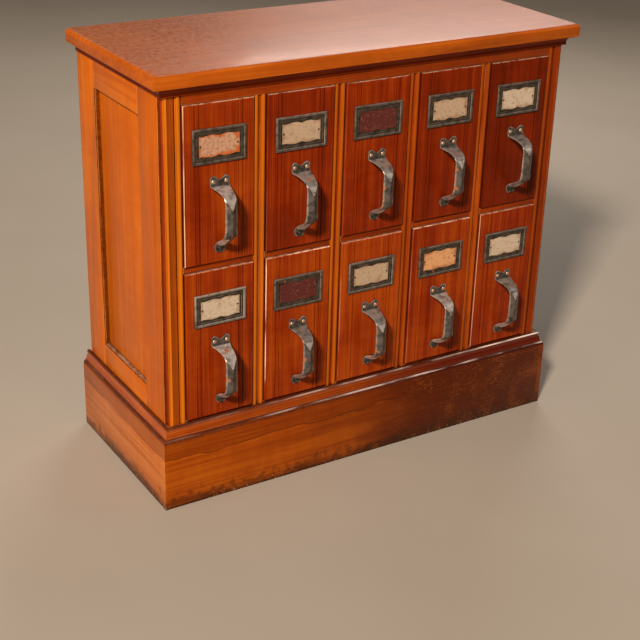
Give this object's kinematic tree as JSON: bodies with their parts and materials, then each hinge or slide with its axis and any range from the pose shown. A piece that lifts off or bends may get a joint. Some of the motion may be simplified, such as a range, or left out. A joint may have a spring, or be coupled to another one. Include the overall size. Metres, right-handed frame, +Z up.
{
  "type": "document filing cabinet",
  "caption": "Low wooden document cabinet with two rows of tall narrow drawers, steel label holders and strap pulls, panelled sides and a moulded plinth.",
  "frame": {"origin": "middle of the footprint, pulls included, on the floor", "axes": "+X along the front to the right as seen from the front, +Y from the front to the back, +Z up"},
  "size_m": [0.755, 0.3524, 0.692],
  "materials": {
    "plinth_wood": "old shellac, scuffed",
    "case_wood": "satin varnish",
    "front_wood": "satin varnish",
    "inner_wood": "bare",
    "holder_steel": "dark and tarnished",
    "pull_steel": "dark and tarnished, with copper-brown spots"
  },
  "bodies": {
    "cabinet": {"plinth_front": "plinth_wood", "plinth_left": "plinth_wood", "plinth_right": "plinth_wood", "plinth_back": "plinth_wood", "plinth_moulding": "plinth_wood", "side_frame_left": "case_wood", "side_frame_right": "case_wood", "side_panel_left": "case_wood", "side_panel_right": "case_wood", "face_stiles": "case_wood", "divider_posts": "case_wood", "drawer_rails": "case_wood", "top_rail": "case_wood", "top_board": "case_wood", "top_moulding": "case_wood", "bottom_board": "inner_wood", "partitions": "inner_wood", "drawer_runners": "inner_wood", "drawer_stops": "inner_wood", "back_boards": "inner_wood"},
    "drawer_r1c1": {"drawer_front_r1c1": "front_wood", "drawer_box_r1c1": "inner_wood", "label_holder_r1c1": "holder_steel", "pull_r1c1": "pull_steel"},
    "drawer_r1c2": {"drawer_front_r1c2": "front_wood", "drawer_box_r1c2": "inner_wood", "label_holder_r1c2": "holder_steel", "pull_r1c2": "pull_steel"},
    "drawer_r1c3": {"drawer_front_r1c3": "front_wood", "drawer_box_r1c3": "inner_wood", "label_holder_r1c3": "holder_steel", "pull_r1c3": "pull_steel"},
    "drawer_r1c4": {"drawer_front_r1c4": "front_wood", "drawer_box_r1c4": "inner_wood", "label_holder_r1c4": "holder_steel", "pull_r1c4": "pull_steel"},
    "drawer_r1c5": {"drawer_front_r1c5": "front_wood", "drawer_box_r1c5": "inner_wood", "label_holder_r1c5": "holder_steel", "pull_r1c5": "pull_steel"},
    "drawer_r2c1": {"drawer_front_r2c1": "front_wood", "drawer_box_r2c1": "inner_wood", "label_holder_r2c1": "holder_steel", "pull_r2c1": "pull_steel"},
    "drawer_r2c2": {"drawer_front_r2c2": "front_wood", "drawer_box_r2c2": "inner_wood", "label_holder_r2c2": "holder_steel", "pull_r2c2": "pull_steel"},
    "drawer_r2c3": {"drawer_front_r2c3": "front_wood", "drawer_box_r2c3": "inner_wood", "label_holder_r2c3": "holder_steel", "pull_r2c3": "pull_steel"},
    "drawer_r2c4": {"drawer_front_r2c4": "front_wood", "drawer_box_r2c4": "inner_wood", "label_holder_r2c4": "holder_steel", "pull_r2c4": "pull_steel"},
    "drawer_r2c5": {"drawer_front_r2c5": "front_wood", "drawer_box_r2c5": "inner_wood", "label_holder_r2c5": "holder_steel", "pull_r2c5": "pull_steel"}
  },
  "joints": [
    {"name": "slide_r1c1", "type": "slide", "parent": "cabinet", "child": "drawer_r1c1", "axis": [0, -1, 0], "range_m": [0, 0.2]},
    {"name": "slide_r1c2", "type": "slide", "parent": "cabinet", "child": "drawer_r1c2", "axis": [0, -1, 0], "range_m": [0, 0.2]},
    {"name": "slide_r1c3", "type": "slide", "parent": "cabinet", "child": "drawer_r1c3", "axis": [0, -1, 0], "range_m": [0, 0.2]},
    {"name": "slide_r1c4", "type": "slide", "parent": "cabinet", "child": "drawer_r1c4", "axis": [0, -1, 0], "range_m": [0, 0.2]},
    {"name": "slide_r1c5", "type": "slide", "parent": "cabinet", "child": "drawer_r1c5", "axis": [0, -1, 0], "range_m": [0, 0.2]},
    {"name": "slide_r2c1", "type": "slide", "parent": "cabinet", "child": "drawer_r2c1", "axis": [0, -1, 0], "range_m": [0, 0.2]},
    {"name": "slide_r2c2", "type": "slide", "parent": "cabinet", "child": "drawer_r2c2", "axis": [0, -1, 0], "range_m": [0, 0.2]},
    {"name": "slide_r2c3", "type": "slide", "parent": "cabinet", "child": "drawer_r2c3", "axis": [0, -1, 0], "range_m": [0, 0.2]},
    {"name": "slide_r2c4", "type": "slide", "parent": "cabinet", "child": "drawer_r2c4", "axis": [0, -1, 0], "range_m": [0, 0.2]},
    {"name": "slide_r2c5", "type": "slide", "parent": "cabinet", "child": "drawer_r2c5", "axis": [0, -1, 0], "range_m": [0, 0.2]}
  ]
}
